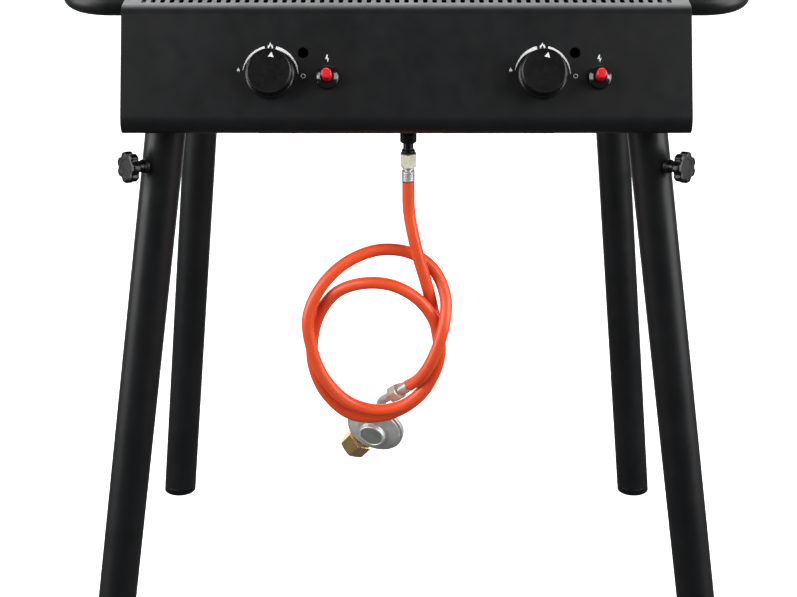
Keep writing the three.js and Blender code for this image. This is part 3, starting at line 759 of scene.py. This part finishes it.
def make_print(name, side):
    at = panel_frame(side * BURNER_X)
    gap = degrees(asin(5.8 / SCALE_R))
    printed_sign(f"scale_high_{name}", crescent(90 + gap, 170, 4.0, 0.5), at)
    printed_sign(f"scale_low_{name}", crescent(90 - gap, 2, 3.8, 0.4), at)
    printed_sign(f"sign_flame_{name}", FLAME, at, offset=(0, 30.6))
    printed_sign(f"sign_small_flame_{name}", SMALL_FLAME, at, scale=0.58, offset=(-33.6, 5.4))
    printed_sign(f"sign_bolt_{name}", BOLT, at, offset=(IGNITER_DX - 0.3, 17.5))
    rows = [(1.85, 0.02), (2.4, 0.02), (2.4, 0.12), (1.85, 0.12)]
    points, faces = spun(rows, 32, closed=True)
    ring_at = at @ Matrix.Translation((34.8, -1.2, 0))
    add_mesh(f"sign_ring_{name}", points, faces, "print", matrix=ring_at)


def make_sight_port(name, side):
    """The closed cup behind the hole that a flame is watched through, near-black: painted shade for the dark
    inside of the housing.
    """
    at = panel_frame(side * BURNER_X + PEEP_DX, PEEP_DY)
    cup = [(PEEP_R + 0.2, -2.3), (PEEP_R + 1.6, -2.3), (PEEP_R + 1.6, -13), (AXIS_R, -13), (AXIS_R, -11.5),
           (PEEP_R + 0.2, -11.5)]
    # The cup's near-black finish is painted shade.
    turned(f"sight_cup_{name}", cup, "painted_shade", sides=40, radius=0.3, closed=True, matrix=at)


def make_igniter(name, side):
    at = panel_frame(side * BURNER_X + IGNITER_DX, IGNITER_DY)
    collar = [(5.9, 0.3), (12.4, 0.3), (12.4, 4.6), (11.9, 6.0), (7.4, 8.0), (6.3, 8.0), (6.2, 6.5),
              (5.9, 6.0)]
    turned(f"igniter_collar_{name}", collar, "gloss_plastic", radius=0.7, closed=True, matrix=at)
    barrel = [(AXIS_R, -40), (3, -40), (8.4, -38), (8.4, -3), (8.4, 0), (6.1, 0), (6.1, -22), (AXIS_R, -22)]
    turned(f"igniter_barrel_{name}", barrel, "knob_plastic", matrix=at, replaced=[f"igniter_body_{name}"])
    button = [(AXIS_R, -12), (5.3, -12), (5.3, 12), (5.4, 28.6), (4.5, 29.9), (AXIS_R, 30)]
    turned(f"red_button_{name}", button, "red_plastic", sides=48, radius=1.2, body=f"igniter_{name}",
           matrix=at, replaced=[f"igniter_button_{name}"])


# ---- Handles ----
def make_handle(name, side):
    r, y, z, reach, corner = 13.0, 182.0, 802.7, 367.5, 45.0
    x0 = 297.6
    path = [(side * x0, -y, z)]
    for sy in (-1, 1):
        for k in range(17):
            angle = k / 16 * pi / 2
            t = angle if sy < 0 else pi / 2 - angle
            x = reach - corner + corner * sin(t)
            path.append((side * x, sy * (y - corner + corner * cos(t)), z))
    path.append((side * x0, y, z))
    tube_along(f"grip_{name}", [(path, False)], r, "black_coat", replaced=[f"handle_{name}"], sides=14)
    for end, sy in (("front", -1), ("back", 1)):
        outline = [(u, v) for u, v, _ in rounded_loop(23.5, 14.8, 6, 0)]
        turn = Matrix.Rotation(side * pi / 2, 4, "Y")
        spin = Matrix.Rotation(pi / 2, 4, "Z")
        place = Matrix.Translation((side * x0, sy * y, z - 2.8)) @ turn @ spin
        add_mesh(f"grip_plate_{name}_{end}", *plate(outline, 0.0, 2.6), "black_coat", matrix=place)


# ---- Legs ----
def leg_matrix(sx, sy, x, slope_x):
    up = (-sx * slope_x, -sy * LEG_SLOPE_Y, 1)
    return frame_at((sx * x, sy * LEG_Y, LEG_ROOT_Z), up, (1, 0, 0))


def level_ring(matrix, radius, height, sides):
    """A ring round the leg's axis, cut off level at a height in the table's frame."""
    ring = []
    for i in range(sides):
        angle = i / sides * 2 * pi
        side_point = matrix @ Vector((radius * cos(angle), radius * sin(angle), 0))
        along = matrix.to_3x3() @ Vector((0, 0, 1))
        ring.append(side_point + along * ((height - side_point.z) / along.z))
    return ring


def square_ring(matrix, radius, along, sides):
    return [matrix @ Vector((radius * cos(i / sides * 2 * pi), radius * sin(i / sides * 2 * pi), along))
            for i in range(sides)]


def capped(loops):
    points, faces = loft(loops)
    sides = len(loops[0])
    faces = faces[:-sides]
    faces.append(tuple(reversed(range(sides))))
    faces.append(tuple(range(len(points) - sides, len(points))))
    return points, faces


def make_leg(name, sx, sy, x, slope_x, star_down):
    sides = 72
    at = leg_matrix(sx, sy, x, slope_x)
    tread = FLOOR_Z + 10
    wall = TUBE_R - 1.5
    loops = [
        level_ring(at, wall, tread, sides), level_ring(at, TUBE_R - 0.3, tread, sides),
        level_ring(at, TUBE_R, tread + 0.3, sides),
        square_ring(at, TUBE_R, 57.2, sides), square_ring(at, TUBE_R - 0.3, 57.5, sides),
        square_ring(at, wall, 57.5, sides),
    ]
    body = f"leg_{name}"
    tube = add_mesh(f"leg_{name}_tube", *loft(loops), "black_coat", body, [f"leg_tube_{name}"])
    knob_at = star_matrix(at, sx, sy, star_down)
    cut(tube, [moved(spun([(4.4, 10), (4.4, 30)], 24), knob_at)])
    boss = [(4.5, TUBE_R - 1.2), (8.2, TUBE_R - 1.2), (7.4, TUBE_R + 2.9), (4.5, TUBE_R + 2.9)]
    turned(f"leg_{name}_boss", boss, "black_coat", sides=40, radius=0.8, closed=True, body=body,
           matrix=knob_at)
    foot = (
        (TUBE_R - 3, FLOOR_Z), (TUBE_R - 0.9, FLOOR_Z), (TUBE_R - 0.15, FLOOR_Z + 0.8),
        (TUBE_R - 0.1, FLOOR_Z + 9.0), (TUBE_R - 0.7, FLOOR_Z + 9.6), (wall - 0.4, FLOOR_Z + 9.6),
        (wall - 0.4, FLOOR_Z + 24), (wall - 1.4, FLOOR_Z + 26),
    )
    loops = [level_ring(at, radius, height, sides) for radius, height in foot]
    add_mesh(f"leg_{name}_foot", *capped(loops), "knob_plastic", body, [f"foot_cap_{name}"])
    make_star(name, knob_at)


def star_matrix(at, sx, sy, down):
    out = (0 if sx > 0 else pi) + sx * sy * radians(40)
    turn = Matrix.Rotation(out, 4, "Z") @ Matrix.Rotation(pi / 2, 4, "Y")
    return at @ Matrix.Translation((0, 0, -down)) @ turn


def make_star(name, at):
    """A grip with seven blunt lobes on a round neck."""
    lobes = 7
    seat = TUBE_R + 4.8
    head = seat + 11.2

    def lobed(shrink):
        def radius(angle):
            return 15.9 - shrink + (1.4 - shrink * 0.2) * tanh(2.2 * (cos(angle * lobes) + 0.3))
        return radius

    rows = [(4.0, 20.4), (4.0, seat), (6.2, seat), (6.2, seat + 4), (6.5, head - 1.6), (8.4, head)]
    rims = ((2.2, 0.0), (0.9, 0.3), (0.25, 1.1), (0.0, 2.2), (0.0, 7.8), (0.25, 8.8), (0.8, 9.5), (1.7, 9.9))
    rows += [(lobed(shrink), head + lift) for shrink, lift in rims]
    rows += [(11.5, head + 9.95), (9.4, head + 9.9), (8.9, head + 9.4), (0.5, head + 9.5)]
    points, faces = spun(rows, 168)
    add_mesh(f"star_{name}", points, faces, "knob_plastic", f"clamp_knob_{name}", [f"star_knob_{name}"], at,
             sharp=35)


# ---- Hose, its fittings and the regulator ----
def catmull_rom(points, per_span):
    """The centripetal curve through the points that the CAD part's tube follows."""
    pts = [Vector(p) for p in points]
    pts = [pts[0] * 2 - pts[1]] + pts + [pts[-1] * 2 - pts[-2]]
    result = []
    for i in range(1, len(pts) - 2):
        p0, p1, p2, p3 = pts[i - 1:i + 3]
        d0, d1, d2 = (sqrt((b - a).length) for a, b in ((p0, p1), (p1, p2), (p2, p3)))
        t1 = ((p1 - p0) / d0 - (p2 - p0) / (d0 + d1) + (p2 - p1) / d1) * d1
        t2 = ((p2 - p1) / d1 - (p3 - p1) / (d1 + d2) + (p3 - p2) / d2) * d1
        for k in range(per_span):
            t = k / per_span
            result.append(p1 * (2 * t ** 3 - 3 * t ** 2 + 1) + t1 * (t ** 3 - 2 * t ** 2 + t)
                          + p2 * (3 * t ** 2 - 2 * t ** 3) + t2 * (t ** 3 - t ** 2))
    result.append(pts[-2])
    return result


def hose_fitting(name, at):
    """The ribbed nipple, the crimped ferrule and the union nut on one end of the hose."""
    sleeve = [(AXIS_R, 0.6), (6.9, 0.6)]
    for k in range(5):
        z = 1.6 + k * 2.1
        sleeve += [(7.1, z), (7.1, z + 1.1), (6.7, z + 1.3), (6.7, z + 1.9)]
    sleeve += [(7.0, 12.4), (5.2, 12.7), (4.9, 13.4), (4.9, 14.2), (6.5, 14.4), (6.5, 15.9),
               (5.0, 16.1), (4.4, 16.4), (4.4, 20), (AXIS_R, 20)]
    ferrule = turned(f"{name}_sleeve", sleeve, "ferrule_steel", sides=48, radius=0.35, matrix=at,
                     replaced=[f"{name}_ferrule"])
    corner_in_front = at @ Matrix.Rotation(pi / 6, 4, "Z")
    nut = hex_nut(f"{name}_union", UNION_FLATS, 17.1, 32.3, 5.0, "yellow_zinc", matrix=corner_in_front,
                  replaced=[f"{name}_nut"])
    return [ferrule, nut]


def make_inlet():
    at = Matrix.Translation((2, -263, 0))
    cone = [(AXIS_R, 659.3), (7.3, 659.3), (7.3, 662), (5.6, 664), (5.6, 671.5), (AXIS_R, 671.5)]
    turned("inlet_cone", cone, "knob_plastic", sides=48, radius=0.5, matrix=at, replaced=["inlet_fitting"])
    hex_nut("inlet_hexagon", 15.5, 671, 681, 4.0, "knob_plastic", matrix=at)
    stem = [(AXIS_R, 680.5), (6, 680.5), (6, 690), (AXIS_R, 690)]
    turned("inlet_stem", stem, "knob_plastic", sides=32, matrix=at)


def make_hose():
    line = catmull_rom(HOSE_ROUTE, 12)
    curve = bpy.data.curves.new("hose", "CURVE")
    curve.dimensions = "3D"
    curve.bevel_depth = HOSE_D / 2 * MM
    curve.bevel_resolution = 10
    spline = curve.splines.new("POLY")
    spline.points.add(len(line) - 1)
    for point, place in zip(spline.points, line):
        point.co = (*((place + TABLE_SHIFT) * MM), 1)
    spline.use_smooth = True
    hose = finish_object(bpy.data.objects.new("hose", curve), "hose_rubber", "table", ["gas_hose"])

    top = frame_at(HOSE_ROUTE[0], (0, 0, 1), (1, 0, 0))
    direction = (line[-1] - line[-2]).normalized()
    bottom = frame_at(HOSE_ROUTE[-1], direction, (1, 0, 0))
    pieces = hose_fitting("inlet", top) + hose_fitting("regulator", bottom)
    pieces += make_regulator(bottom)


def make_regulator(hose_end):
    at = frame_at(REGULATOR_CENTRE, REGULATOR_FACE, REGULATOR_INLET)
    inlet = at @ Matrix.Translation((0, 0, -5)) @ Matrix.Rotation(pi / 2, 4, "Y")
    r = 33.5
    outline = [(AXIS_R, -15), (17, -14.4), (27, -7), (28.5, -2), (r, -1.8), (r, 1.9), (AXIS_R, 1.9)]
    bowl = turned("regulator_bowl", outline, "cast_zinc", sides=96, radius=2.0, matrix=at,
                  replaced=["regulator_body"])
    outline = [(AXIS_R, 2.3), (r, 2.3), (r, 5.2), (30.6, 5.4), (30, 6.6), (19.5, 12.2), (15.1, 12.8),
               (15, 17.4), (14.2, 18.4), (13, 18.4), (12.6, 17.7), (AXIS_R, 17.7)]
    lid = turned("regulator_cover", outline, "cast_zinc", sides=96, radius=0.9, matrix=at,
                 replaced=["regulator_lid"])
    outline = [(AXIS_R, 17.6), (12.4, 17.6), (12.4, 17.85), (AXIS_R, 17.85)]
    disc = turned("regulator_disc", outline, "label", sides=64, radius=0.05, matrix=at)
    outline = [(AXIS_R, 20), (7.6, 20), (6.4, 29), (6.4, 38), (9.5, 38.2), (9.5, 41.8), (5, 42),
               (5, 51.4), (AXIS_R, 51.4)]
    neck = turned("regulator_neck", outline, "steel", sides=48, radius=0.6, matrix=inlet)
    nut = hex_nut("cylinder_hexagon", CYLINDER_FLATS, 34.3, 57.3, 9.8, "brass", body="cylinder_nut",
                  matrix=inlet, replaced=["cylinder_nut"])
    back = at.inverted()
    elbow_start = 32.6  # just clear of the union nut, which ends at 32.3
    p0, p1 = (back @ (hose_end @ Vector((0, 0, d))) for d in (elbow_start, elbow_start + 16.3))
    p2, p3 = Vector((-36, -19, -7)), Vector((-15, -8, -7))
    path = []
    for k in range(17):
        t = k / 16
        point = p0 * (1 - t) ** 3 + p1 * 3 * t * (1 - t) ** 2 + p2 * 3 * t ** 2 * (1 - t) + p3 * t ** 3
        path.append(at @ point)
    elbow = tube_along("regulator_elbow", [(path, False)], 5.2, "cast_zinc", sides=10)
    return [bowl, lid, disc, neck, nut, elbow]


# ---- What stays as the CAD made it, with a finish of its own ----
def finish_cad_nodes():
    slots = {entry["node"]: entry["material_slot"] for entry in frame["record"]["subparts"]}
    for name, obj in frame["nodes"].items():
        if obj.hide_render:
            continue
        obj.data.materials.clear()
        finish = "black_coat" if name.startswith("star_washer") else slots[name]
        obj.data.materials.append(MATERIALS[finish])


make_camera()
make_studio()
make_hose()
make_housing()
make_well()
for side_name, side_sign in SIDES:
    make_burner(side_name, side_sign)
    make_grate(side_name, side_sign)
    make_knob(side_name, side_sign)
    make_print(side_name, side_sign)
    make_sight_port(side_name, side_sign)
    make_igniter(side_name, side_sign)
    make_handle(side_name, side_sign)
make_inlet()
for leg in LEGS:
    make_leg(*leg)
finish_cad_nodes()
